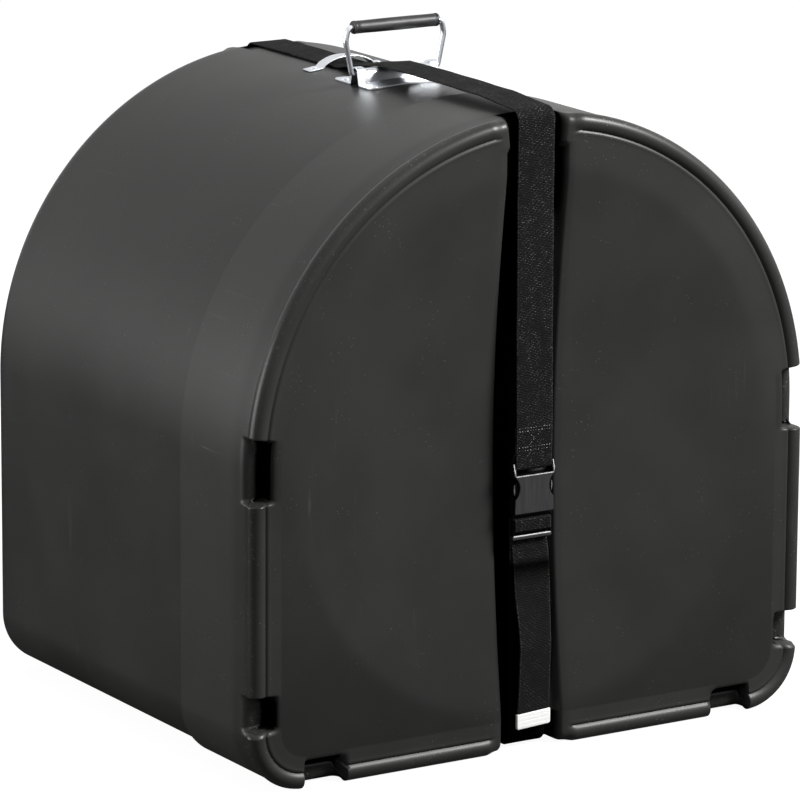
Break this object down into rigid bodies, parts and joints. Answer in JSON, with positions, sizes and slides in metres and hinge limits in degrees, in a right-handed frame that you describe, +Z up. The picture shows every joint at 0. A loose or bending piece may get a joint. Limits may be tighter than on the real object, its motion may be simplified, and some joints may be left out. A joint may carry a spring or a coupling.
{
  "type": "drum case",
  "caption": "Hard case for a bass drum: D-shaped shell with a telescoping lid, a webbing strap with a side-release buckle, and a bail handle on top.",
  "frame": {"origin": "bottom centre of the whole object's box, on the floor that it stands on", "axes": "+Z up; -Y the way the lid's face looks; X along the case's width and the handle's grip"},
  "size_m": [0.673, 0.555, 0.7263],
  "materials": {
    "shell_plastic": "moulded polyethylene, fine grain",
    "webbing": "woven",
    "tip_plastic": "matt",
    "buckle_plastic": "moulded acetal",
    "zinc_steel": "zinc plated",
    "grip_plastic": "moulded"
  },
  "bodies": {
    "shell": {"rear_shell": "shell_plastic", "strap_rear": "webbing", "handle_plate": "zinc_steel", "strap_bridge": "zinc_steel", "plate_rivet_front_left": "zinc_steel", "plate_rivet_front_right": "zinc_steel", "plate_rivet_rear_left": "zinc_steel", "plate_rivet_rear_right": "zinc_steel", "bridge_rivet_left": "zinc_steel", "bridge_rivet_right": "zinc_steel"},
    "lid": {"front_lid": "shell_plastic", "strap_upper": "webbing", "strap_lower": "webbing", "strap_tail": "webbing", "strap_tip": "tip_plastic", "buckle_socket": "buckle_plastic"},
    "plug": {"buckle_plug": "buckle_plastic"},
    "latch_left": {"latch_arm_left": "buckle_plastic"},
    "latch_right": {"latch_arm_right": "buckle_plastic"},
    "bail": {"bail_wire": "zinc_steel", "bail_grip": "grip_plastic"}
  },
  "joints": [
    {"name": "lid_pull", "type": "slide", "parent": "shell", "child": "lid", "axis": [0, -1, 0], "range_m": [0, 0.16]},
    {"name": "buckle_pull", "type": "slide", "parent": "lid", "child": "plug", "axis": [0, 0, -1], "range_m": [0, 0.04], "deforming": ["strap_lower", "strap_tail", "latch_arm_left", "latch_arm_right"]},
    {"name": "latch_squeeze_left", "type": "hinge", "parent": "plug", "child": "latch_left", "pos_m": [-0.013, -0.2685, 0.2523], "axis": [0, 1, 0], "range_deg": [0, 9], "stiffness_Nm_per_rad": 0.3},
    {"name": "latch_squeeze_right", "type": "hinge", "parent": "plug", "child": "latch_right", "pos_m": [0.013, -0.2685, 0.2523], "axis": [0, -1, 0], "range_deg": [0, 9], "stiffness_Nm_per_rad": 0.3},
    {"name": "bail_swing", "type": "hinge", "parent": "shell", "child": "bail", "pos_m": [0, 0.0004, 0.6703], "axis": [-1, 0, 0], "range_deg": [-64, 80]}
  ],
  "couplings": [
    {"joint": "latch_squeeze_right", "follows": "latch_squeeze_left", "ratio": 1}
  ]
}
